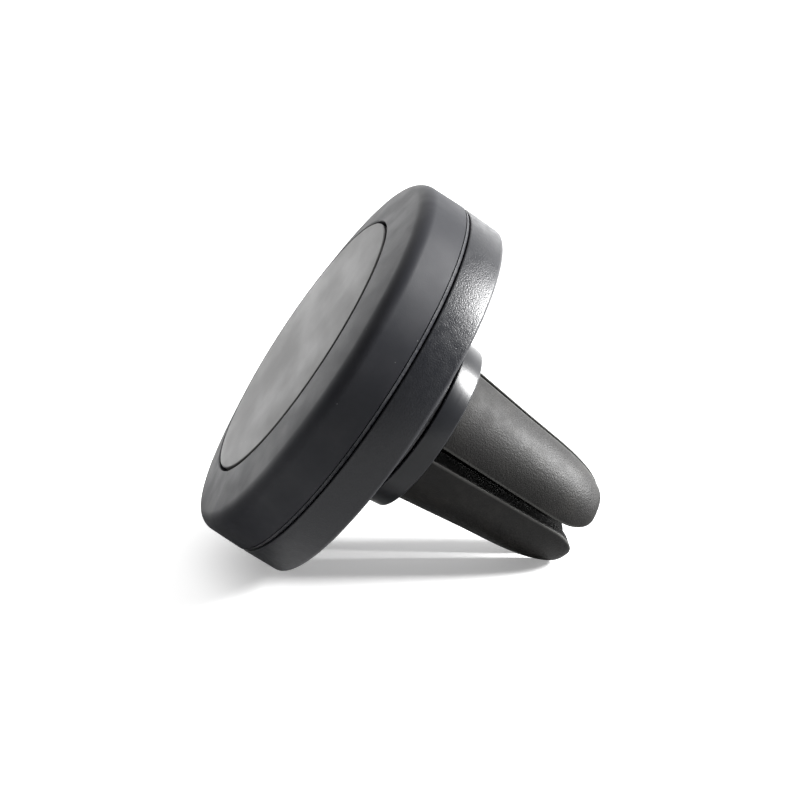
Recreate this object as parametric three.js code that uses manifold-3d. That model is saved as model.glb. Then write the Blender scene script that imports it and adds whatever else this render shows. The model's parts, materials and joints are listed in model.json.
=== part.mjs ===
// A magnetic car phone mount that clips onto an air-vent blade.
//
// Every piece is built round one axis, local +Y, which runs from the phone face (y = 0) back to the
// fingertips. Local +Z is across the axis, and the four clip fingers stand in its four quadrants. The
// whole mount is then tipped forward until it lies on its rear rim and its two lower fingertips, which
// is how it rests on a table: the table is the plane z = 0. Lengths are in millimetres.

import * as THREE from "three";
import { mergeVertices } from "three/addons/utils/BufferGeometryUtils.js";
import Module from "manifold-3d";

const wasm = await Module();
wasm.setup();

// ---- Driving dimensions ------------------------------------------------------------------------

const gap = 0.3; // clearance between pieces that meet
const headRadius = 20; // the widest circle, at the parting line
const parting = 6.05; // where the rubber front cover ends
const headBack = 10.2; // the rear face of the head
const wall = 1.5; // wall of the cover and the shell

const pad = { radius: 14.2, thickness: 1, edge: 0.2 };
const adhesive = { radius: 13.8, front: pad.thickness + gap, thickness: 0.2 };
const coneAngle = THREE.MathUtils.degToRad(11); // the ring round the pad slopes back by this much
const shoulder = { radius: 1.57, centreR: 18.35, centreY: 2.37 };
const ledge = { inner: 12.4, front: 1.8, back: 2.5 }; // the cover's inner edge, under the pad

const magnet = { radius: 4.2, thickness: 3, pitch: 7, front: 1.8, count: 4 };
const yoke = { radius: 12.5, thickness: 1 };
const carrierRadius = 16.7;
const carrierScrew = { pitch: 14.4, headRadius: 1.7, headHeight: 1.1, radius: 1, length: 4.3, count: 4 };

const spigot = { inner: 17, outer: 18.1, front: 3.3 };
const neck = { outer: 9, inner: 7.2, back: 12.85, endWall: 1, bore: 3.3 };

const retainer = { inner: 1.6, outer: 6, front: 10.4, back: 10.9 };
const waveWasher = { inner: 3.6, outer: 6.4, middle: 11.375, thickness: 0.25, rise: 0.12, waves: 3 };
const thrustWasher = { inner: 4, outer: 6.4, front: 13.15, back: 13.75 };
const pivotScrew = { headRadius: 2.8, headHeight: 1.1, radius: 1.3, head: 9, length: 4 };

const collar = { front: 13.15, back: 15.5, inner: 7.9, frontRadius: 9.35, rearRadius: 9.1, lip: 6.9 };
const lipThickness = 0.45;
const hub = { radius: 7.6, back: 15, stemRadius: 3, stemFront: 11.2 };

// The fingers from their root to their tips: how far out they reach from the axis, and half the width
// of the slots between them, which narrow towards the tips and flare at the very end.
const fingerStations = [
  { y: 15.3, outer: 7.6, slot: 0.78 },
  { y: 19.5, outer: 7.1, slot: 0.69 },
  { y: 23.5, outer: 6.62, slot: 0.6 },
  { y: 27.8, outer: 6.15, slot: 0.53 },
  { y: 30, outer: 5.78, slot: 0.5 },
  { y: 31.5, outer: 5.38, slot: 0.55 },
  { y: 32.6, outer: 4.95, slot: 0.8 },
  { y: 33.3, outer: 4.6, slot: 1.2 },
  { y: 33.75, outer: 4.2, slot: 1.7 },
  { y: 33.95, outer: 3.75, slot: 2.1 },
];
const fingerEdge = 0.1; // the rounding where a slot face meets the outside
const fingerBore = 2.5; // the radius of the round hollow where the slots cross
const boreFlare = 1.45; // the least ratio of that radius to half the slot's width, where the slots flare

const roundSteps = 72;
const smallSteps = 32;

// ---- Turning three.js geometries into solids and back --------------------------------------------

function solidOf(geometry) {
  const bare = (geometry.index ? geometry.toNonIndexed() : geometry).clone();
  bare.deleteAttribute("normal");
  bare.deleteAttribute("uv");
  const merged = mergeVertices(bare, 1e-4);
  return new wasm.Manifold(
    new wasm.Mesh({
      numProp: 3,
      vertProperties: new Float32Array(merged.attributes.position.array),
      triVerts: new Uint32Array(merged.index.array),
    }),
  );
}

function geometryOf(solid) {
  const mesh = solid.getMesh();
  const positions = new Float32Array(mesh.numVert * 3);
  for (let i = 0; i < mesh.numVert; i++) {
    const first = i * mesh.numProp;
    positions.set(mesh.vertProperties.subarray(first, first + 3), i * 3);
  }
  const geometry = new THREE.BufferGeometry();
  geometry.setAttribute("position", new THREE.BufferAttribute(positions, 3));
  geometry.setIndex(new THREE.BufferAttribute(mesh.triVerts, 1));
  return geometry;
}

// A solid of revolution about +Y. The outline is a closed loop of [radius, y] points, or one that starts
// and ends on the axis, in either direction.
function turned(outline, steps = roundSteps) {
  const doubleArea = outline.reduce((sum, [r, y], i) => {
    const [nextR, nextY] = outline[(i + 1) % outline.length];
    return sum + r * nextY - nextR * y;
  }, 0);
  const points = outline.map(([r, y]) => new THREE.Vector2(r, y));
  if (doubleArea < 0) points.reverse();
  const onAxis = points[0].x === 0 && points[points.length - 1].x === 0;
  if (!onAxis) points.push(points[0].clone());
  return new THREE.LatheGeometry(points, steps);
}

function cylinder(radius, from, to, steps = smallSteps) {
  return new THREE.CylinderGeometry(radius, radius, to - from, steps).translate(0, (from + to) / 2, 0);
}

function box(width, height, depth) {
  return new THREE.BoxGeometry(width, height, depth);
}

function arc(centreR, centreY, radius, fromAngle, toAngle, steps) {
  return Array.from({ length: steps + 1 }, (_, i) => {
    const angle = fromAngle + ((toAngle - fromAngle) * i) / steps;
    return [centreR + radius * Math.cos(angle), centreY + radius * Math.sin(angle)];
  });
}

// A closed body through rings of points, all with the same count. The ends are closed by fans, unless
// the rings close on themselves.
function skinned(rings, closed = false) {
  const count = rings[0].length;
  const positions = rings.flat().flatMap((p) => [p.x, p.y, p.z]);
  const index = [];
  const spans = closed ? rings.length : rings.length - 1;
  for (let i = 0; i < spans; i++) {
    for (let j = 0; j < count; j++) {
      const a = i * count + j;
      const b = i * count + ((j + 1) % count);
      const c = ((i + 1) % rings.length) * count + j;
      const d = ((i + 1) % rings.length) * count + ((j + 1) % count);
      index.push(a, c, b, b, c, d);
    }
  }
  if (!closed) {
    [0, rings.length - 1].forEach((ring, end) => {
      const centre = rings[ring].reduce((sum, p) => sum.add(p), new THREE.Vector3()).divideScalar(count);
      const middle = positions.length / 3;
      positions.push(centre.x, centre.y, centre.z);
      for (let j = 0; j < count; j++) {
        const a = ring * count + j;
        const b = ring * count + ((j + 1) % count);
        index.push(...(end ? [middle, b, a] : [middle, a, b]));
      }
    });
  }
  const geometry = new THREE.BufferGeometry();
  geometry.setAttribute("position", new THREE.Float32BufferAttribute(positions, 3));
  geometry.setIndex(index);
  return geometry;
}

// Where the nth of several pieces stands on a circle about the axis, starting from +Z.
function onCircle(radius, index, count, offset = 0) {
  const angle = (2 * Math.PI * (index + offset)) / count;
  return [radius * Math.sin(angle), radius * Math.cos(angle)];
}

// ---- Materials -----------------------------------------------------------------------------------

const materials = {
  adhesive: new THREE.MeshStandardMaterial({ color: 0xb9b7ae, roughness: 0.5, metalness: 0 }),
  padRubber: new THREE.MeshStandardMaterial({ color: 0x5c5d5b, roughness: 0.75, metalness: 0 }),
  coverRubber: new THREE.MeshStandardMaterial({ color: 0x36373a, roughness: 0.7, metalness: 0 }),
  shellPlastic: new THREE.MeshStandardMaterial({ color: 0x2f3133, roughness: 0.5, metalness: 0 }),
  glossPlastic: new THREE.MeshStandardMaterial({ color: 0x26272a, roughness: 0.22, metalness: 0 }),
  fingerRubber: new THREE.MeshStandardMaterial({ color: 0x343432, roughness: 0.65, metalness: 0 }),
  innerPlastic: new THREE.MeshStandardMaterial({ color: 0x1f2022, roughness: 0.55, metalness: 0 }),
  nickel: new THREE.MeshStandardMaterial({ color: 0xc4c2bb, roughness: 0.25, metalness: 1 }),
  steel: new THREE.MeshStandardMaterial({ color: 0x9a9c9e, roughness: 0.4, metalness: 1 }),
  nylon: new THREE.MeshStandardMaterial({ color: 0xd9d6cc, roughness: 0.6, metalness: 0 }),
};

function piece(name, geometry, material) {
  const mesh = new THREE.Mesh(geometry, material);
  mesh.name = name;
  return mesh;
}

// ---- The head ------------------------------------------------------------------------------------

function frontPad() {
  const outline = [
    [0, 0],
    ...arc(pad.radius - pad.edge, pad.edge, pad.edge, -Math.PI / 2, 0, 3),
    [pad.radius, pad.thickness],
    [0, pad.thickness],
  ];
  return piece("front_pad", turned(outline), materials.padRubber);
}

function padAdhesive() {
  const back = adhesive.front + adhesive.thickness;
  return piece("pad_adhesive", cylinder(adhesive.radius, adhesive.front, back, 48), materials.adhesive);
}

// The rubber cover: a sloping ring round the pad, a round shoulder and a skirt down to the parting line.
function frontCover() {
  const grooveRadius = pad.radius + gap;
  const bead = 0.2;
  const skirtInner = spigot.outer + gap;
  const round = arc(
    shoulder.centreR,
    shoulder.centreY,
    shoulder.radius,
    coneAngle - Math.PI / 2,
    0,
    8,
  );
  const [slopeEndR, slopeEndY] = round[0];
  const slopeStartY = slopeEndY - (slopeEndR - grooveRadius - bead) * Math.tan(coneAngle);
  const outline = [
    [ledge.inner, ledge.front],
    [grooveRadius, ledge.front],
    [grooveRadius, slopeStartY + bead],
    [grooveRadius + bead, slopeStartY],
    ...round,
    [headRadius, parting],
    [skirtInner, parting],
    [skirtInner, ledge.back + 0.5],
    [skirtInner - 0.5, ledge.back],
    [ledge.inner, ledge.back],
  ];
  return piece("front_cover", turned(outline), materials.coverRubber);
}

const yokeFront = magnet.front + magnet.thickness + gap;
const yokeBack = yokeFront + yoke.thickness;
const carrierFront = ledge.back + gap;

// The plastic holder for the magnets, with the steel yoke set into its back.
function magnetCarrier() {
  const platform = ledge.inner - gap;
  const pocket = yoke.radius + gap;
  const body = [
    [0, magnet.front],
    [platform, magnet.front],
    [platform, carrierFront],
    [carrierRadius, carrierFront],
    [carrierRadius, yokeBack],
    [pocket, yokeBack],
    [pocket, yokeFront],
    [0, yokeFront],
  ];
  let solid = solidOf(turned(body));
  for (let i = 0; i < magnet.count; i++) {
    const [x, z] = onCircle(magnet.pitch, i, magnet.count, 0.5);
    solid = solid.subtract(solidOf(cylinder(magnet.radius + gap, 0, yokeBack).translate(x, 0, z)));
  }
  for (let i = 0; i < carrierScrew.count; i++) {
    const [x, z] = onCircle(carrierScrew.pitch, i, carrierScrew.count);
    const seat = carrierFront + carrierScrew.headHeight + gap;
    const counterbore = cylinder(carrierScrew.headRadius + gap, 0, seat, 20).translate(x, 0, z);
    const hole = cylinder(carrierScrew.radius + gap, 0, yokeBack + 1, 20).translate(x, 0, z);
    solid = solid.subtract(solidOf(counterbore)).subtract(solidOf(hole));
  }
  return piece("magnet_carrier", geometryOf(solid), materials.innerPlastic);
}

function magnetDisc(index) {
  const edge = 0.25;
  const back = magnet.front + magnet.thickness;
  const outline = [
    [0, magnet.front],
    [magnet.radius - edge, magnet.front],
    [magnet.radius, magnet.front + edge],
    [magnet.radius, back - edge],
    [magnet.radius - edge, back],
    [0, back],
  ];
  const disc = piece(`magnet_${index + 1}`, turned(outline, smallSteps), materials.nickel);
  const [x, z] = onCircle(magnet.pitch, index, magnet.count, 0.5);
  disc.position.set(x, 0, z);
  return disc;
}

function steelYoke() {
  return piece("steel_yoke", cylinder(yoke.radius, yokeFront, yokeBack, 48), materials.steel);
}

// A pan-head screw along +Y with its head at y = 0 and a cross recess.
function panHeadScrew({ headRadius: headR, headHeight, radius, length }) {
  const point = 0.6;
  const outline = [
    [0, 0],
    [headR * 0.6, 0],
    [headR * 0.92, headHeight * 0.35],
    [headR, headHeight],
    [radius, headHeight],
    [radius, headHeight + length - point],
    [radius * 0.4, headHeight + length],
    [0, headHeight + length],
  ];
  const recess = { long: headR * 1.1, wide: headR * 0.26, deep: headHeight * 0.6 };
  return geometryOf(
    solidOf(turned(outline, 24))
      .subtract(solidOf(box(recess.long, recess.deep * 2, recess.wide)))
      .subtract(solidOf(box(recess.wide, recess.deep * 2, recess.long))),
  );
}

function carrierScrewAt(index) {
  const screw = piece(`carrier_screw_${index + 1}`, panHeadScrew(carrierScrew), materials.steel);
  const [x, z] = onCircle(carrierScrew.pitch, index, carrierScrew.count);
  screw.position.set(x, carrierFront, z);
  return screw;
}

// The rear housing: a cup with a spigot for the cover, four screw posts and the hollow swivel neck.
function rearShell() {
  const rim = 0.45;
  const draft = 0.06;
  const floorFront = headBack - wall;
  const fillet = 0.4;
  const outline = [
    [neck.bore, neck.back - neck.endWall],
    [neck.inner, neck.back - neck.endWall],
    [neck.inner, floorFront],
    [spigot.inner, floorFront],
    [spigot.inner, spigot.front],
    [spigot.outer, spigot.front],
    [spigot.outer, parting + gap],
    [headRadius, parting + gap],
    ...arc(headRadius - draft - rim, headBack - rim, rim, 0, Math.PI / 2, 4),
    [neck.outer + fillet, headBack],
    [neck.outer, headBack + fillet],
    [neck.outer, neck.back - 0.15],
    [neck.outer - 0.15, neck.back],
    [neck.bore, neck.back],
  ];
  let solid = solidOf(turned(outline));
  const postFront = yokeBack + gap;
  for (let i = 0; i < carrierScrew.count; i++) {
    const [x, z] = onCircle(carrierScrew.pitch, i, carrierScrew.count);
    const post = cylinder(2.2, postFront, floorFront + 0.5, 20).translate(x, 0, z);
    const pilot = cylinder(carrierScrew.radius + gap, postFront - 1, floorFront, 20).translate(x, 0, z);
    solid = solid.add(solidOf(post)).subtract(solidOf(pilot));
  }
  return piece("rear_shell", geometryOf(solid), materials.shellPlastic);
}

// ---- The swivel and the collar -------------------------------------------------------------------

function pivotScrewPiece() {
  const screw = piece("pivot_screw", panHeadScrew(pivotScrew), materials.steel);
  screw.position.y = pivotScrew.head;
  return screw;
}

function flatRing(name, ring, material) {
  const outline = [
    [ring.inner, ring.front],
    [ring.outer, ring.front],
    [ring.outer, ring.back],
    [ring.inner, ring.back],
  ];
  return piece(name, turned(outline, 40), material);
}

// The sprung washer that gives the swivel its drag.
function waveWasherPiece() {
  const steps = 48;
  const { inner, outer, middle, thickness, rise, waves } = waveWasher;
  const rings = Array.from({ length: steps }, (_, i) => {
    const angle = (2 * Math.PI * i) / steps;
    const front = middle + rise * Math.sin(waves * angle) - thickness / 2;
    const at = (r, y) => new THREE.Vector3(r * Math.cos(angle), y, r * Math.sin(angle));
    return [
      at(inner, front),
      at(inner, front + thickness),
      at(outer, front + thickness),
      at(outer, front),
    ];
  });
  return piece("wave_washer", skinned(rings, true), materials.steel);
}

function collarRing() {
  const fillet = 0.3;
  const outline = [
    [collar.lip, collar.front],
    [collar.frontRadius - 0.12, collar.front],
    [collar.frontRadius, collar.front + 0.12],
    ...arc(collar.rearRadius - fillet, collar.back - fillet, fillet, 0.1, Math.PI / 2, 4),
    [collar.inner, collar.back],
    [collar.inner, collar.front + lipThickness],
    [collar.lip, collar.front + lipThickness],
  ];
  return piece("collar_ring", turned(outline), materials.glossPlastic);
}

// The clip's hard hub. Its stem passes through the neck and takes the pivot screw, a recess holds the
// thrust washer, and its rim traps the collar ring.
function clipHub() {
  const pilotRadius = pivotScrew.radius + gap;
  const pilotEnd = pivotScrew.head + pivotScrew.headHeight + pivotScrew.length + gap;
  const recessBack = thrustWasher.back + gap;
  const rimFront = collar.front + lipThickness + gap;
  const outline = [
    [0, pilotEnd],
    [pilotRadius, pilotEnd],
    [pilotRadius, hub.stemFront],
    [hub.stemRadius, hub.stemFront],
    [hub.stemRadius, thrustWasher.front],
    [thrustWasher.inner - gap, thrustWasher.front],
    [thrustWasher.inner - gap, recessBack],
    [thrustWasher.outer + gap, recessBack],
    [thrustWasher.outer + gap, rimFront],
    [hub.radius, rimFront],
    [hub.radius, hub.back],
    [0, hub.back],
  ];
  return piece("clip_hub", turned(outline, 48), materials.innerPlastic);
}

// ---- The clip fingers ----------------------------------------------------------------------------

// One quadrant of a thick tube as a loop of [x, z]: the round hollow, the two flat slot faces, a
// rounded edge at the end of each, and the round outside.
function quadrant(outer, slot) {
  const bore = Math.max(fingerBore, slot * boreFlare);
  const corner = Math.asin(slot / bore);
  const edge = Math.min(fingerEdge, (outer - slot) * 0.2);
  const across = slot + edge;
  const along = Math.sqrt((outer - edge) ** 2 - across ** 2);
  const tilt = Math.atan2(across, along);
  return [
    ...arc(0, 0, bore, Math.PI / 2 - corner, corner, 5),
    ...arc(along, across, edge, -Math.PI / 2, tilt, 4),
    ...arc(0, 0, outer, tilt, Math.PI / 2 - tilt, 10).slice(1, -1),
    ...arc(across, along, edge, Math.PI / 2 - tilt, Math.PI, 4),
  ];
}

function fingerGeometry() {
  const rings = fingerStations.map(({ y, outer, slot }) =>
    quadrant(outer, slot).map(([x, z]) => new THREE.Vector3(x, y, z)),
  );
  return skinned(rings);
}

// The fingers in turn about the axis, a quarter turn apart. Their names are as the user sees them from
// the phone's side.
const fingerNames = ["upper_right", "lower_right", "lower_left", "upper_left"];

function finger(index) {
  const geometry = fingerGeometry().rotateY((index * Math.PI) / 2);
  return piece(`finger_${fingerNames[index]}`, geometry, materials.fingerRubber);
}

// ---- Assembly ------------------------------------------------------------------------------------

function countedPieces(count, make) {
  return Array.from({ length: count }, (_, i) => make(i));
}

const mount = new THREE.Group();
mount.add(
  frontPad(),
  padAdhesive(),
  frontCover(),
  magnetCarrier(),
  ...countedPieces(magnet.count, magnetDisc),
  steelYoke(),
  ...countedPieces(carrierScrew.count, carrierScrewAt),
  rearShell(),
  pivotScrewPiece(),
  flatRing("retaining_washer", retainer, materials.steel),
  waveWasherPiece(),
  flatRing("thrust_washer", thrustWasher, materials.nylon),
  collarRing(),
  clipHub(),
  ...countedPieces(fingerNames.length, finger),
);

// How low the pieces whose names start with a prefix reach, with the mount tipped forward by an angle.
function lowest(prefix, tilt) {
  mount.rotation.x = -tilt;
  mount.updateMatrixWorld(true);
  const pieces = mount.children.filter(({ name }) => name.startsWith(prefix));
  return Math.min(...pieces.map((each) => new THREE.Box3().setFromObject(each, true).min.z));
}

// The tilt at which a level surface touches both the head's rear rim and the lower fingertips.
function restingTilt() {
  let shallow = 0;
  let steep = Math.PI / 3;
  for (let i = 0; i < 30; i++) {
    const middle = (shallow + steep) / 2;
    if (lowest("finger_lower", middle) > lowest("rear_shell", middle)) shallow = middle;
    else steep = middle;
  }
  return shallow;
}

mount.rotation.x = -restingTilt();
mount.updateMatrixWorld(true);
const extent = new THREE.Box3().setFromObject(mount, true);
const middle = extent.getCenter(new THREE.Vector3());
mount.position.set(-middle.x, -middle.y, -extent.min.z);

export default mount;
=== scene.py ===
"""Looks for a magnetic car phone mount that lies on a pale floor.

The CAD pieces inside the head and the swivel are kept and given materials. What shows outside is built
again here with finer curves: the pad, the rubber cover, the rear shell, the collar ring and the four
rubber fingers. Outlines are in millimetres in the mount's own frame: y runs along its axis, from the
phone face back to the fingertips, and z is across it. The frame's record says where that axis lies.
"""

import json
import math

import bpy
from mathutils import Euler, Matrix, Vector


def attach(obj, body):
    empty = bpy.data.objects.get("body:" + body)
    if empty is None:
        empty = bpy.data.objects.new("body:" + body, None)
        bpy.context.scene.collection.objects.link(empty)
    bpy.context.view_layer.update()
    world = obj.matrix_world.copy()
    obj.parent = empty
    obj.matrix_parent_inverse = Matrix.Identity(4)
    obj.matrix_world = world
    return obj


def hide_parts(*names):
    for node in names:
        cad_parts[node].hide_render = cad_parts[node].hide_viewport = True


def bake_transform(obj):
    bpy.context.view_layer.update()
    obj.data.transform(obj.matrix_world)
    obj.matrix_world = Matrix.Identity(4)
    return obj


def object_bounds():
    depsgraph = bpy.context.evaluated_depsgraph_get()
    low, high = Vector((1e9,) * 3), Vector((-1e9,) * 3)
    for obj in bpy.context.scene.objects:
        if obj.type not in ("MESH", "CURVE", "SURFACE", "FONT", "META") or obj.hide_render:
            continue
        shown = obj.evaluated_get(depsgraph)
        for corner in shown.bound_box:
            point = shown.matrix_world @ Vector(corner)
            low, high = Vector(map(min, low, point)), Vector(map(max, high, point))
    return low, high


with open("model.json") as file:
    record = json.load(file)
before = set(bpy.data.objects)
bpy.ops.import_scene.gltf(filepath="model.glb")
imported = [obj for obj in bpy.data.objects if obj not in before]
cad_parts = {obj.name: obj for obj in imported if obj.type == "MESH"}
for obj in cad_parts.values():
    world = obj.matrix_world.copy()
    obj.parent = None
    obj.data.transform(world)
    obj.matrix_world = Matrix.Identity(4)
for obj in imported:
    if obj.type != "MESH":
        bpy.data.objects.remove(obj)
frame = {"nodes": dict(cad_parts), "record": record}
cad_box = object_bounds()

MM = 0.001
RECORD = frame["record"]

# ---- Outer dimensions, in millimetres ------------------------------------------------------------

HEAD_RADIUS = 20.0
HEAD_BACK = 10.2
PARTING = 6.05
SEAM_SHOWING = 0.13
PAD_RADIUS = 14.2
PAD_DEPTH = 1.0
GROOVE_OUTER = 14.5
CONE_ANGLE = math.radians(11)
SHOULDER_RADIUS = 1.57
SHOULDER_CENTRE = (18.35, 2.37)
NECK_RADIUS = 9.0
NECK_BACK = 13.02
NECK_MARK_ANGLE = math.radians(74.5)  # of the mould's parting marks, from straight up
COLLAR_FRONT = 13.15
COLLAR_BACK = 15.5
COLLAR_INNER = 7.9
COLLAR_FRONT_RADIUS = 9.35
COLLAR_REAR_RADIUS = 9.1

# The fingers, from root to tip: distance along the axis, outer radius, half the slot's width.
FINGER_STATIONS = [
    (15.3, 7.6, 0.78),
    (19.5, 7.1, 0.69),
    (23.5, 6.62, 0.6),
    (27.8, 6.15, 0.53),
    (30, 5.78, 0.51),
    (31.5, 5.38, 0.6),
    (32.6, 4.95, 0.92),
    (33.3, 4.6, 1.35),
    (33.7, 4.2, 1.85),
    (33.88, 3.75, 2.2),
]
FINGER_TIP = 33.95
FINGER_EDGE = 0.12
FINGER_BORE = 2.5  # the radius of the round hollow where the slots cross
BORE_FLARE = 1.45  # the least ratio of that radius to half the slot's width, where the slots flare
EDGE_HIGHLIGHT_REACH = 0.12  # how far the painted highlight on an edge reaches along the slot face
FINGERS = ["upper_right", "lower_right", "lower_left", "upper_left"]

ROUND_STEPS = 192


# ---- Frame and mesh helpers ----------------------------------------------------------------------


def mount_matrix():
    """From the mount's own frame, in millimetres, to the row frame, in metres."""
    face = next(m for m in RECORD["mounts"] if m["name"] == "phone_face")
    across = Vector((1, 0, 0))
    along = -Vector(face["axis"]).normalized()
    up = across.cross(along)
    turn = Matrix((across, along, up)).transposed().to_4x4()
    return Matrix.Translation(Vector(face["pos_m"])) @ turn @ Matrix.Scale(MM, 4)


MOUNT = mount_matrix()


def arc(centre, radius, start, end, steps):
    """Points on an arc, both ends included, with angles in radians."""
    angles = [start + (end - start) * i / steps for i in range(steps + 1)]
    return [(centre[0] + radius * math.cos(a), centre[1] + radius * math.sin(a)) for a in angles]


def make_object(name, vertices, faces, material, sharp=math.radians(38)):
    """A shaded mesh from points in the mount's frame, which are also kept as its texture space."""
    mesh = bpy.data.meshes.new(name)
    mesh.from_pydata([MOUNT @ Vector(v) for v in vertices], [], faces)
    mesh.shade_smooth()
    mesh.set_sharp_from_angle(angle=sharp)
    rest = mesh.attributes.new("rest_mm", "FLOAT_VECTOR", "POINT")
    for datum, vertex in zip(rest.data, vertices):
        datum.vector = vertex
    mesh.materials.append(material)
    obj = bpy.data.objects.new(name, mesh)
    bpy.context.scene.collection.objects.link(obj)
    return obj


def spun(name, outline, material, steps=ROUND_STEPS):
    """A solid of revolution about y from an outline of (radius, y) points, wound so faces look out."""
    area = sum(
        r0 * y1 - r1 * y0 for (r0, y0), (r1, y1) in zip(outline, outline[1:] + outline[:1])
    )
    points = outline if area > 0 else outline[::-1]
    vertices, rings = [], []
    for radius, y in points:
        if radius == 0:
            rings.append([len(vertices)] * steps)
            vertices.append((0, y, 0))
            continue
        rings.append(list(range(len(vertices), len(vertices) + steps)))
        for i in range(steps):
            angle = 2 * math.pi * i / steps
            vertices.append((radius * math.sin(angle), y, radius * math.cos(angle)))
    faces = []
    for ring, following in zip(rings, rings[1:] + rings[:1]):
        for i in range(steps):
            j = (i + 1) % steps
            corners = [ring[i], ring[j], following[j], following[i]]
            unique = list(dict.fromkeys(corners))
            if len(unique) > 2:
                faces.append(unique)
    return make_object(name, vertices, faces, material)


def keep_values(obj, name, values):
    """Keeps a number for each of the mesh's points, for the material to read."""
    attribute = obj.data.attributes.new(name, "FLOAT", "POINT")
    for datum, value in zip(attribute.data, values):
        datum.value = value


def skinned(name, rings, tip, material):
    """A closed body through rings of points, flat at its first ring and fanned to a point at its last."""
    count = len(rings[0])
    vertices = [point for ring in rings for point in ring] + [tip]
    faces = [list(range(count))]
    for i in range(len(rings) - 1):
        for j in range(count):
            k = (j + 1) % count
            faces.append([i * count + k, i * count + j, (i + 1) * count + j, (i + 1) * count + k])
    last = (len(rings) - 1) * count
    for j in range(count):
        faces.append([last + (j + 1) % count, last + j, len(vertices) - 1])
    return make_object(name, vertices, faces, material)


# ---- Materials -----------------------------------------------------------------------------------


class NodeTree:
    """Small helpers for wiring nodes, shared by the materials and the studio's background."""

    def __init__(self, tree):
        self.nodes = tree.nodes
        self.links = tree.links

    def feed(self, socket, value):
        """Sets a socket to a plain number or links it to another node's output."""
        if isinstance(value, (int, float)):
            socket.default_value = value
        else:
            self.links.new(value, socket)

    def math(self, operation, a, b):
        node = self.nodes.new("ShaderNodeMath")
        node.operation = operation
        self.feed(node.inputs[0], a)
        self.feed(node.inputs[1], b)
        return node.outputs["Value"]

    def mapped(self, value, low, high, to_low=0.0, to_high=1.0):
        """A smooth step from to_low to to_high as the value goes from low to high."""
        node = self.nodes.new("ShaderNodeMapRange")
        node.interpolation_type = "SMOOTHSTEP"
        self.feed(node.inputs["From Min"], low)
        self.feed(node.inputs["From Max"], high)
        self.feed(node.inputs["To Min"], to_low)
        self.feed(node.inputs["To Max"], to_high)
        self.feed(node.inputs["Value"], value)
        return node.outputs["Result"]

    def length(self, vector):
        node = self.nodes.new("ShaderNodeVectorMath")
        node.operation = "LENGTH"
        self.links.new(vector, node.inputs[0])
        return node.outputs["Value"]

    def split(self, vector):
        node = self.nodes.new("ShaderNodeSeparateXYZ")
        self.links.new(vector, node.inputs["Vector"])
        return node.outputs


class Surface(NodeTree):
    """A Principled material with helpers for adding procedural detail."""

    def __init__(self, name, color, roughness, metallic=0.0, rest_space=True):
        self.material = bpy.data.materials.new(name)
        self.material.use_nodes = True
        super().__init__(self.material.node_tree)
        self.shader = self.nodes["Principled BSDF"]
        self.shader.inputs["Base Color"].default_value = (*color, 1)
        self.shader.inputs["Roughness"].default_value = roughness
        self.shader.inputs["Metallic"].default_value = metallic
        self.space = self.rest_space() if rest_space else self.object_space()

    def attribute(self, name):
        """The outputs of a node that reads values kept on the mesh."""
        node = self.nodes.new("ShaderNodeAttribute")
        node.attribute_name = name
        return node.outputs

    def rest_space(self):
        """The mount's own frame in millimetres, as kept on the meshes built here."""
        return self.attribute("rest_mm")["Vector"]

    def object_space(self):
        """The row frame in millimetres, for the CAD meshes."""
        node = self.nodes.new("ShaderNodeTexCoord")
        scale = self.nodes.new("ShaderNodeVectorMath")
        scale.operation = "SCALE"
        scale.inputs["Scale"].default_value = 1 / MM
        self.links.new(node.outputs["Object"], scale.inputs[0])
        return scale.outputs["Vector"]

    def stretched(self, factors):
        """The texture space with its axes scaled, for grain that runs one way."""
        node = self.nodes.new("ShaderNodeVectorMath")
        node.operation = "MULTIPLY"
        node.inputs[1].default_value = factors
        self.links.new(self.space, node.inputs[0])
        return node.outputs["Vector"]

    def noise(self, size, detail=3.0, space=None):
        """Noise from 0 to 1 whose blobs are about size millimetres across."""
        node = self.nodes.new("ShaderNodeTexNoise")
        node.inputs["Scale"].default_value = 1 / size
        node.inputs["Detail"].default_value = detail
        self.links.new(space or self.space, node.inputs["Vector"])
        return node.outputs["Fac"]

    def cells(self, size):
        """Distance to the nearest of many points about size millimetres apart."""
        node = self.nodes.new("ShaderNodeTexVoronoi")
        node.inputs["Scale"].default_value = 1 / size
        self.links.new(self.space, node.inputs["Vector"])
        return node.outputs["Distance"]

    def tint(self, mask, color, amount=1.0):
        """Mixes a colour over what the base colour is so far, where the mask says."""
        mix = self.nodes.new("ShaderNodeMix")
        mix.data_type = "RGBA"
        base = self.shader.inputs["Base Color"]
        if base.is_linked:
            self.links.new(base.links[0].from_socket, mix.inputs["A"])
        else:
            mix.inputs["A"].default_value = base.default_value
        mix.inputs["B"].default_value = (*color, 1)
        self.links.new(self.math("MULTIPLY", mask, amount), mix.inputs["Factor"])
        self.links.new(mix.outputs["Result"], base)

    def vary_roughness(self, mask, low, high):
        """Lets the roughness follow a noise, from low to high."""
        self.links.new(self.mapped(mask, 0.3, 0.7, low, high), self.shader.inputs["Roughness"])

    def shift_roughness(self, mask, amount):
        """Adds to the roughness where the mask says."""
        socket = self.shader.inputs["Roughness"]
        so_far = socket.links[0].from_socket if socket.is_linked else socket.default_value
        self.links.new(self.math("ADD", so_far, self.math("MULTIPLY", mask, amount)), socket)

    def bump(self, value, depth):
        """Adds relief depth millimetres high to what is there already."""
        node = self.nodes.new("ShaderNodeBump")
        node.inputs["Distance"].default_value = depth * MM
        self.links.new(value, node.inputs["Height"])
        normal = self.shader.inputs["Normal"]
        if normal.is_linked:
            self.links.new(normal.links[0].from_socket, node.inputs["Normal"])
        self.links.new(node.outputs["Normal"], normal)


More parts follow.
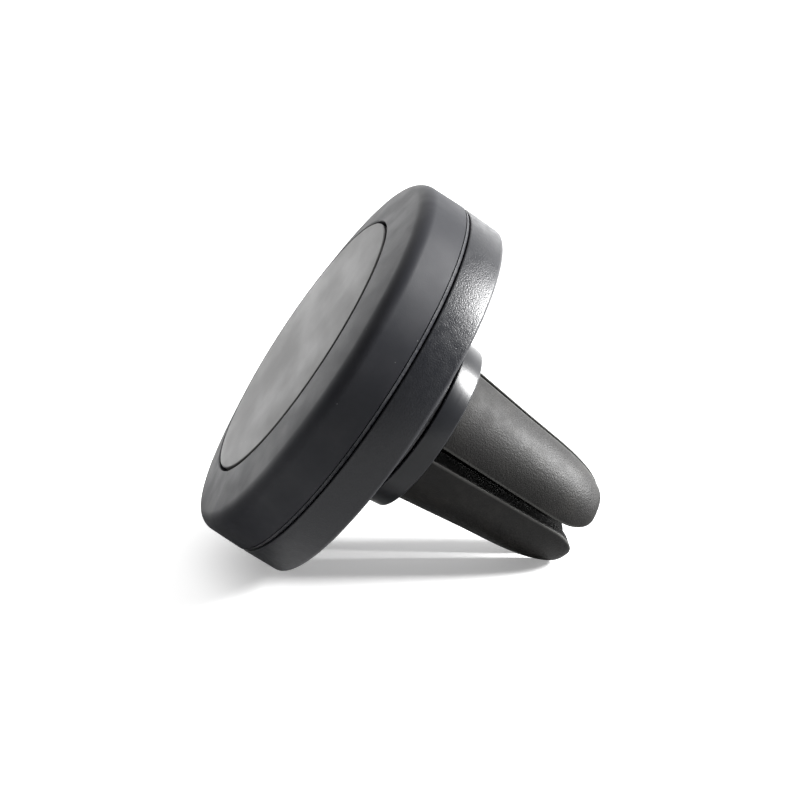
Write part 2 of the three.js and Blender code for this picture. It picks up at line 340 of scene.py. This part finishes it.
def pad_rubber():
    """Smooth rubber, wiped and a little dusty."""
    s = Surface("pad_rubber", (0.031, 0.031, 0.03), 0.46)
    smear = s.noise(6.0, 4, s.stretched((0.45, 1, 1)))
    s.vary_roughness(smear, 0.42, 0.54)
    s.tint(s.mapped(smear, 0.35, 0.75), (0.055, 0.054, 0.051), 0.6)
    s.tint(s.mapped(s.cells(1.7), 0.035, 0.02), (0.25, 0.25, 0.24), 0.5)
    s.bump(s.noise(0.14, 2), 0.003)
    s.bump(s.noise(9.0, 2), 0.12)
    return s.material


def cover_rubber():
    """Soft matt rubber with dust specks and a rough edge where the mould closed."""
    s = Surface("cover_rubber", (0.015, 0.016, 0.021), 0.53)
    s.shader.inputs["Specular IOR Level"].default_value = 0.34
    s.vary_roughness(s.noise(3.5, 4), 0.49, 0.58)
    s.tint(s.mapped(s.noise(5.0, 5), 0.4, 0.75), (0.028, 0.028, 0.033), 0.7)
    s.tint(s.mapped(s.cells(2.3), 0.03, 0.015), (0.2, 0.2, 0.2), 0.6)
    flash = s.mapped(s.split(s.space)["Y"], PARTING - 0.42, PARTING - 0.34)
    ragged = s.mapped(s.noise(0.5, 4), 0.42, 0.6)
    s.tint(s.math("MULTIPLY", flash, ragged), (0.05, 0.05, 0.053), 0.6)
    s.bump(s.noise(0.13, 2), 0.004)
    s.bump(s.noise(2.6, 3), 0.01)
    s.bump(s.math("MULTIPLY", flash, s.noise(0.4, 4)), 0.06)
    return s.material


def shell_plastic():
    """Hard plastic with a fine spark-eroded grain, painted lighter on the neck to stand in for light in
    its shaded recess.
    """
    s = Surface("shell_plastic", (0.016, 0.017, 0.021), 0.33)
    s.vary_roughness(s.noise(0.8, 3), 0.29, 0.37)
    # painted light: the neck sits in shade between the flange and the collar, so its colour is raised to
    # look lit
    neck = s.mapped(s.split(s.space)["Y"], HEAD_BACK + 0.5, HEAD_BACK + 1.0)
    s.tint(neck, (0.085, 0.085, 0.09), 0.8)
    s.bump(s.noise(0.15, 2), 0.019)
    s.bump(s.mapped(s.cells(0.17), 0.1, 0.6), 0.006)
    return s.material


def collar_plastic():
    """Hard plastic with very fine turning lines round the ring."""
    s = Surface("collar_plastic", (0.011, 0.012, 0.015), 0.28)
    lines = s.noise(0.5, 3, s.stretched((0.12, 5, 0.12)))
    s.vary_roughness(lines, 0.275, 0.305)
    s.bump(lines, 0.0002)
    s.bump(s.noise(0.12, 2), 0.0005)
    return s.material


def finger_rubber():
    """Grained rubber with brownish patches, painted shade inside the slots and a painted highlight along
    their edges.
    """
    s = Surface("finger_rubber", (0.009, 0.0085, 0.0079), 0.5)
    s.shader.inputs["Specular IOR Level"].default_value = 0.33
    s.vary_roughness(s.noise(1.1, 4), 0.46, 0.52)
    s.shift_roughness(s.mapped(s.split(s.space)["Y"], 27.0, 16.0), 0.12)
    s.tint(s.mapped(s.noise(2.4, 5), 0.45, 0.75), (0.026, 0.024, 0.021), 0.5)
    # painted shade: the slot faces darken with depth below the skin, where little light reaches
    inside = s.mapped(s.attribute("depth_mm")["Fac"], 0.2, 1.0)
    s.tint(inside, (0.006, 0.006, 0.006))
    s.shift_roughness(inside, 0.4)
    # painted highlight: a pale line along the slot edges, standing in for light caught by the rounded
    # edges
    s.tint(s.mapped(s.attribute("edge_highlight")["Fac"], 0.5, 1.0), (0.08, 0.08, 0.075), 0.8)
    s.bump(s.noise(0.17, 3), 0.04)
    s.bump(s.noise(0.1, 2), 0.006)
    return s.material


def inner_plastic():
    """Plain moulded plastic for the pieces that don't show."""
    s = Surface("inner_plastic", (0.014, 0.015, 0.017), 0.5, rest_space=False)
    s.vary_roughness(s.noise(1.5, 3), 0.42, 0.6)
    s.bump(s.noise(0.3, 2), 0.006)
    return s.material


def adhesive_film():
    """A yellowish film of glue, uneven in colour."""
    s = Surface("adhesive_film", (0.48, 0.47, 0.43), 0.4, rest_space=False)
    s.tint(s.mapped(s.noise(2.0, 4), 0.4, 0.7), (0.4, 0.39, 0.34), 0.7)
    s.bump(s.noise(0.5, 3), 0.01)
    return s.material


def bare_metal(name, color, roughness, scratch):
    """Plated metal with fine scratches that run round it."""
    s = Surface(name, color, roughness, metallic=1.0, rest_space=False)
    lines = s.noise(0.5, 4, s.stretched((0.2, 4, 1)))
    s.vary_roughness(lines, roughness * 0.8, roughness * 1.3)
    s.bump(lines, scratch)
    return s.material


def nylon():
    """Slightly translucent white nylon."""
    s = Surface("nylon", (0.7, 0.68, 0.61), 0.45, rest_space=False)
    s.shader.inputs["Subsurface Weight"].default_value = 0.2
    s.shader.inputs["Subsurface Radius"].default_value = (0.001, 0.001, 0.0008)
    s.bump(s.noise(0.4, 3), 0.008)
    return s.material


MATERIALS = {
    "pad_rubber": pad_rubber(),
    "adhesive_film": adhesive_film(),
    "cover_rubber": cover_rubber(),
    "shell_plastic": shell_plastic(),
    "collar_plastic": collar_plastic(),
    "finger_rubber": finger_rubber(),
    "inner_plastic": inner_plastic(),
    "magnet_nickel": bare_metal("magnet_nickel", (0.56, 0.55, 0.5), 0.18, 0.001),
    "plain_steel": bare_metal("plain_steel", (0.4, 0.41, 0.42), 0.34, 0.004),
    "nylon": nylon(),
}


def dress_cad_nodes():
    """Gives every CAD node the procedural material of its slot in the record."""
    for part in RECORD["subparts"]:
        mesh = frame["nodes"][part["node"]].data
        mesh.materials.clear()
        mesh.materials.append(MATERIALS[part["material_slot"]])


# ---- The head ------------------------------------------------------------------------------------


def stand_in(piece, body, node):
    """The built piece takes the place of a CAD node and moves with its body."""
    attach(piece, body)
    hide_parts(node)


def build_pad():
    """The rubber disc that the phone rests on, with a rounded front edge."""
    edge = 0.16
    outline = [
        (0, 0),
        (PAD_RADIUS * 0.5, 0),
        *arc((PAD_RADIUS - edge, edge), edge, -math.pi / 2, 0, 5),
        (PAD_RADIUS, PAD_DEPTH),
        (0, PAD_DEPTH),
    ]
    pad = spun("pad", outline, MATERIALS["pad_rubber"])
    stand_in(pad, "head", "front_pad")


def build_cover():
    """The rubber cover, with a rounded lip at the groove and a fine ridge at its rear edge."""
    bead = 0.2
    skirt_inner = 18.4
    ledge_inner, ledge_front, ledge_back = 12.4, 1.8, 2.5
    shoulder = arc(SHOULDER_CENTRE, SHOULDER_RADIUS, CONE_ANGLE - math.pi / 2, 0, 16)
    slope_r, slope_y = shoulder[0]
    lip_y = slope_y - (slope_r - GROOVE_OUTER - bead) * math.tan(CONE_ANGLE)
    ridge = [
        (HEAD_RADIUS - 0.005, PARTING - 0.46),
        (HEAD_RADIUS - 0.1, PARTING - 0.42),
        (HEAD_RADIUS - 0.1, PARTING - 0.39),
        (HEAD_RADIUS - 0.01, PARTING - 0.34),
        (HEAD_RADIUS - 0.14, PARTING - 0.04),
        (HEAD_RADIUS - 0.2, PARTING),
    ]
    outline = [
        (ledge_inner, ledge_front),
        (GROOVE_OUTER, ledge_front),
        *arc((GROOVE_OUTER + bead, lip_y + bead), bead, math.pi, 1.5 * math.pi, 5),
        *shoulder,
        *ridge,
        (skirt_inner, PARTING),
        (skirt_inner, ledge_back + 0.5),
        (skirt_inner - 0.5, ledge_back),
        (ledge_inner, ledge_back),
    ]
    cover = spun("cover", outline, MATERIALS["cover_rubber"])
    stand_in(cover, "head", "front_cover")


def build_shell():
    """The rear shell: a spigot inside the cover, a drafted side, a rounded rim and the neck."""
    spigot_outer, spigot_inner, spigot_front = 18.1, 17.0, 3.3
    neck_inner, neck_wall, bore = 7.2, 1.0, 3.3
    floor_front = HEAD_BACK - 1.5
    outer = HEAD_RADIUS - 0.02
    draft, rim, front_edge, fillet, neck_edge = 0.06, 0.45, 0.12, 0.4, 0.06
    front = PARTING + SEAM_SHOWING
    outline = [
        (bore, NECK_BACK - neck_wall),
        (neck_inner, NECK_BACK - neck_wall),
        (neck_inner, floor_front),
        (spigot_inner, floor_front),
        (spigot_inner, spigot_front),
        (spigot_outer, spigot_front),
        (spigot_outer, front),
        *arc((outer - front_edge, front + front_edge), front_edge, -math.pi / 2, 0, 4),
        *arc((outer - draft - rim, HEAD_BACK - rim), rim, 0, math.pi / 2, 8),
        *arc((NECK_RADIUS + fillet, HEAD_BACK + fillet), fillet, -math.pi / 2, -math.pi, 5),
        *arc((NECK_RADIUS - neck_edge, NECK_BACK - neck_edge), neck_edge, 0, math.pi / 2, 4),
        (bore, NECK_BACK),
    ]
    shell = spun("shell", outline, MATERIALS["shell_plastic"])
    stand_in(shell, "head", "rear_shell")


def build_neck_marks():
    """Two fine ribs along the neck, where the halves of its mould met."""
    width, height = 0.09, 0.12
    profile = [(-width, -0.1), (width, -0.1), (width * 0.6, height), (-width * 0.6, height)]
    ends = (HEAD_BACK + 0.1, NECK_BACK - 0.02)
    sides = [(0, 1, 5, 4), (1, 2, 6, 5), (2, 3, 7, 6), (3, 0, 4, 7), (3, 2, 1, 0), (4, 5, 6, 7)]
    for name, angle in (("right", NECK_MARK_ANGLE), ("left", NECK_MARK_ANGLE + math.pi)):
        turn = Matrix.Rotation(angle, 3, "Y")
        vertices = [turn @ Vector((x, y, NECK_RADIUS + z)) for y in ends for x, z in profile]
        mark = make_object(f"neck_mark_{name}", vertices, sides, MATERIALS["shell_plastic"])
        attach(mark, "head")


# ---- The collar and the fingers ------------------------------------------------------------------


def build_collar():
    """The glossy ring at the root of the clip, with a lip inside its front."""
    fillet, front_edge, lip, lip_depth = 0.22, 0.1, 6.9, 0.45
    front = (COLLAR_FRONT_RADIUS - front_edge, COLLAR_FRONT + front_edge)
    rear = (COLLAR_REAR_RADIUS - fillet, COLLAR_BACK - fillet)
    outline = [
        (lip, COLLAR_FRONT),
        *arc(front, front_edge, -math.pi / 2, 0.1, 4),
        *arc(rear, fillet, 0.1, math.pi / 2, 6),
        (COLLAR_INNER, COLLAR_BACK),
        (COLLAR_INNER, COLLAR_FRONT + lip_depth),
        (lip, COLLAR_FRONT + lip_depth),
    ]
    collar = spun("collar", outline, MATERIALS["collar_plastic"])
    stand_in(collar, "clip", "collar_ring")


def quadrant(outer, slot):
    """One quadrant of a thick tube: (x, z, edge highlight) points round its hollow, slot faces, edges and
    outside.

    The edge highlight is 1 along the edges and 0 elsewhere; it places a painted highlight on the fingers.
    """
    bore = max(FINGER_BORE, slot * BORE_FLARE)
    corner = math.asin(slot / bore)
    inner = bore * math.cos(corner)
    edge = min(FINGER_EDGE, (outer - slot) * 0.2)
    across = slot + edge
    along = math.sqrt((outer - edge) ** 2 - across**2)
    tilt = math.atan2(across, along)
    face = [(inner + EDGE_HIGHLIGHT_REACH, slot), ((inner + along) / 2, slot), (along - EDGE_HIGHLIGHT_REACH, slot)]
    hollow = arc((0, 0), bore, math.pi / 2 - corner, corner, 8)
    mouth = arc((along, across), edge, -math.pi / 2, tilt, 5)
    far_mouth = arc((across, along), edge, math.pi / 2 - tilt, math.pi, 5)
    skin = arc((0, 0), outer, tilt, math.pi / 2 - tilt, 24)[1:-1]
    far_face = [(z, x) for x, z in reversed(face)]
    runs = [
        (hollow[:1], 1.0),
        (hollow[1:-1], 0.0),
        (hollow[-1:], 1.0),
        (face, 0.0),
        (mouth, 1.0),
        (skin, 0.0),
        (far_mouth, 1.0),
        (far_face, 0.0),
    ]
    return [(x, z, edge_highlight) for run, edge_highlight in runs for x, z in run]


def catmull_rom(a, b, c, d, t):
    """A value between b and c, at t from 0 to 1, on a smooth curve that passes through all four."""
    slope = (c - a) * t
    square = (2 * a - 5 * b + 4 * c - d) * t**2
    cube = (3 * b - a - 3 * c + d) * t**3
    return 0.5 * (2 * b + slope + square + cube)


def smooth_stations(stations, steps):
    """More stations, on a smooth curve through the given ones."""
    padded = [stations[0], *stations, stations[-1]]
    made = []
    for i in range(len(stations) - 1):
        four = padded[i : i + 4]
        for step in range(steps):
            made.append(tuple(catmull_rom(*values, step / steps) for values in zip(*four)))
    return made + [stations[-1]]


def finger_rings():
    """The first finger's sections, from root to tip, with each point's depth below the skin and its
    weight for the painted edge highlight.
    """
    rings, depths, edge_highlight = [], [], []
    for y, outer, slot in smooth_stations(FINGER_STATIONS, 5):
        section = quadrant(outer, slot)
        rings.append([(x, y, z) for x, z, highlit in section])
        depths += [outer - math.hypot(x, z) for x, z, highlit in section]
        edge_highlight += [highlit for x, z, highlit in section]
    return rings, depths, edge_highlight


def close_tip(rings):
    """Adds three shrinking sections to the last one, and gives the point that they close on."""
    last = rings[-1]
    middle = sum((Vector(p) for p in last), Vector()) / len(last)
    for scale, rise in ((0.8, 0.5), (0.5, 0.85), (0.2, 1.0)):
        y = middle.y + (FINGER_TIP - middle.y) * rise
        ring = [middle.lerp(Vector(p), scale) for p in last]
        rings.append([(p.x, y, p.z) for p in ring])
    return middle.x, FINGER_TIP, middle.z


def build_fingers():
    """Four equal rubber fingers, each a quarter turn from the last."""
    rings, depths, edge_highlight = finger_rings()
    tip = close_tip(rings)
    closing = [0.0] * (sum(len(ring) for ring in rings) + 1 - len(depths))
    for index, name in enumerate(FINGERS):
        turn = Matrix.Rotation(index * math.pi / 2, 4, "Y")
        turned = [[tuple(turn @ Vector(p)) for p in ring] for ring in rings]
        finger = skinned(
            f"rubber_{name}", turned, tuple(turn @ Vector(tip)), MATERIALS["finger_rubber"]
        )
        keep_values(finger, "depth_mm", depths + closing)
        keep_values(finger, "edge_highlight", edge_highlight + closing)
        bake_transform(finger)
        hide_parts(f"finger_{name}")


# ---- Floor, light and camera ---------------------------------------------------------------------

CAMERA_AZIMUTH = 86.2
CAMERA_ELEVATION = 17.76
CAMERA_ROLL = 1.63
CAMERA_DISTANCE = 0.23164
CAMERA_LENS = 105.6
CAMERA_OFFSET = (-0.0004, -0.00227)  # right and up from the middle of the object
# The floor glows away from the object, as the bright room washes out the far shadows: from and to, in
# millimetres and in strength.
GLOW_DISTANCES = (12.0, 23.0)
GLOW_STRENGTHS = (0.27, 0.62)
# The reflected floor's grey is painted shade: it stands in for the floor as the object sees it.
BOUNCE_GREY = 0.46
BACK_GLOW = 1.0
BACK_FLOOR = (-25.0, -70.0)  # where the reflected floor is painted brighter, behind the object, in millimetres
KEY_DIRECTION = (-0.08, 0.86, 0.51)
KEY_DISTANCE = 0.6
KEY_SIZE = (0.19, 0.21)  # width and height
KEY_POWER = 9.6
FLOOR_REACH = 3.0  # from the middle of the floor to its edges, in metres
BOUNCE_DROP = 0.1 * MM  # how far the reflected floor lies under the one that is seen
SENSOR_WIDTH = 36


def floor_plane(name, level, material):
    """A large level square that casts no shadow of its own."""
    far = FLOOR_REACH
    mesh = bpy.data.meshes.new(name)
    corners = [(-far, -far, level), (far, -far, level), (far, far, level), (-far, far, level)]
    mesh.from_pydata(corners, [], [(0, 1, 2, 3)])
    mesh.materials.append(material)
    plane = bpy.data.objects.new(name, mesh)
    bpy.context.scene.collection.objects.link(plane)
    plane.visible_shadow = False
    return plane


def build_floor():
    """The white floor that is seen, and under it a darker copy that the object reflects, as painted
    shade, painted paler and glowing behind the object as painted light.
    """
    white = Surface("floor_white", (0.92, 0.92, 0.92), 0.9, rest_space=False)
    white.shader.inputs["Emission Color"].default_value = (1, 1, 1, 1)
    glow = white.mapped(white.length(white.space), *GLOW_DISTANCES, *GLOW_STRENGTHS)
    white.links.new(glow, white.shader.inputs["Emission Strength"])
    seen = floor_plane("floor", 0, white.material)
    seen.visible_glossy = False
    seen.visible_diffuse = False
    grey = Surface("floor_bounce_grey", (BOUNCE_GREY,) * 3, 0.9, rest_space=False)
    # painted light: the reflected floor turns pale and glows behind the object, standing in for the lit
    # floor there
    behind = grey.mapped(grey.split(grey.space)["X"], *BACK_FLOOR)
    grey.tint(behind, (0.9, 0.9, 0.9))
    grey.shader.inputs["Emission Color"].default_value = (1, 1, 1, 1)
    grey.links.new(grey.math("MULTIPLY", behind, BACK_GLOW), grey.shader.inputs["Emission Strength"])
    bounce = floor_plane("floor_bounce", -BOUNCE_DROP, grey.material)
    bounce.visible_camera = False


def area_light(name, direction, distance, size, power):
    """A soft box that looks at the object from a direction."""
    data = bpy.data.lights.new(name, "AREA")
    data.shape = "RECTANGLE"
    data.size, data.size_y = size
    data.energy = power
    light = bpy.data.objects.new(name, data)
    bpy.context.scene.collection.objects.link(light)
    away = Vector(direction).normalized()
    light.location = away * distance
    light.rotation_mode = "QUATERNION"
    light.rotation_quaternion = away.to_track_quat("Z", "Y")


def build_studio():
    """The room: bright behind the object near the horizon, dim on the camera's side and below."""
    world = bpy.data.worlds.new("studio")
    bpy.context.scene.world = world
    world.use_nodes = True
    room = NodeTree(world.node_tree)
    place = room.nodes.new("ShaderNodeTexCoord")
    axis = room.split(place.outputs["Generated"])
    backdrop = room.mapped(axis["X"], 0.5, -0.9, 0.28, 2.6)
    ceiling = room.mapped(axis["Z"], 0.0, 0.6, 1.0, 0.4)
    ground = room.mapped(axis["Y"], -0.2, 0.6, 0.6, 0.15)
    above = room.math("MULTIPLY", backdrop, ceiling)
    strength = room.mapped(axis["Z"], -0.5, -0.12, ground, above)
    room.links.new(strength, room.nodes["Background"].inputs["Strength"])
    room.nodes["Background"].inputs["Color"].default_value = (1, 1, 1, 1)
    area_light("key", KEY_DIRECTION, KEY_DISTANCE, KEY_SIZE, KEY_POWER)


def build_camera():
    """A camera that looks down at the mount from its side."""
    low, high = cad_box
    middle = (low + high) / 2
    azimuth, elevation = math.radians(CAMERA_AZIMUTH), math.radians(CAMERA_ELEVATION)
    turn = Euler((math.pi / 2 - elevation, 0, azimuth)).to_matrix()
    turn = turn @ Matrix.Rotation(math.radians(CAMERA_ROLL), 3, "Z")
    data = bpy.data.cameras.new("camera")
    data.lens = CAMERA_LENS
    data.sensor_width = SENSOR_WIDTH
    data.clip_start = 0.01
    camera = bpy.data.objects.new("camera", data)
    bpy.context.scene.collection.objects.link(camera)
    offset = Vector((*CAMERA_OFFSET, CAMERA_DISTANCE))
    camera.location = middle + turn @ offset
    camera.rotation_euler = turn.to_euler()
    bpy.context.scene.camera = camera


dress_cad_nodes()
build_pad()
build_cover()
build_shell()
build_neck_marks()
build_collar()
build_fingers()
build_floor()
build_studio()
build_camera()
bpy.context.scene.view_settings.view_transform = "Standard"
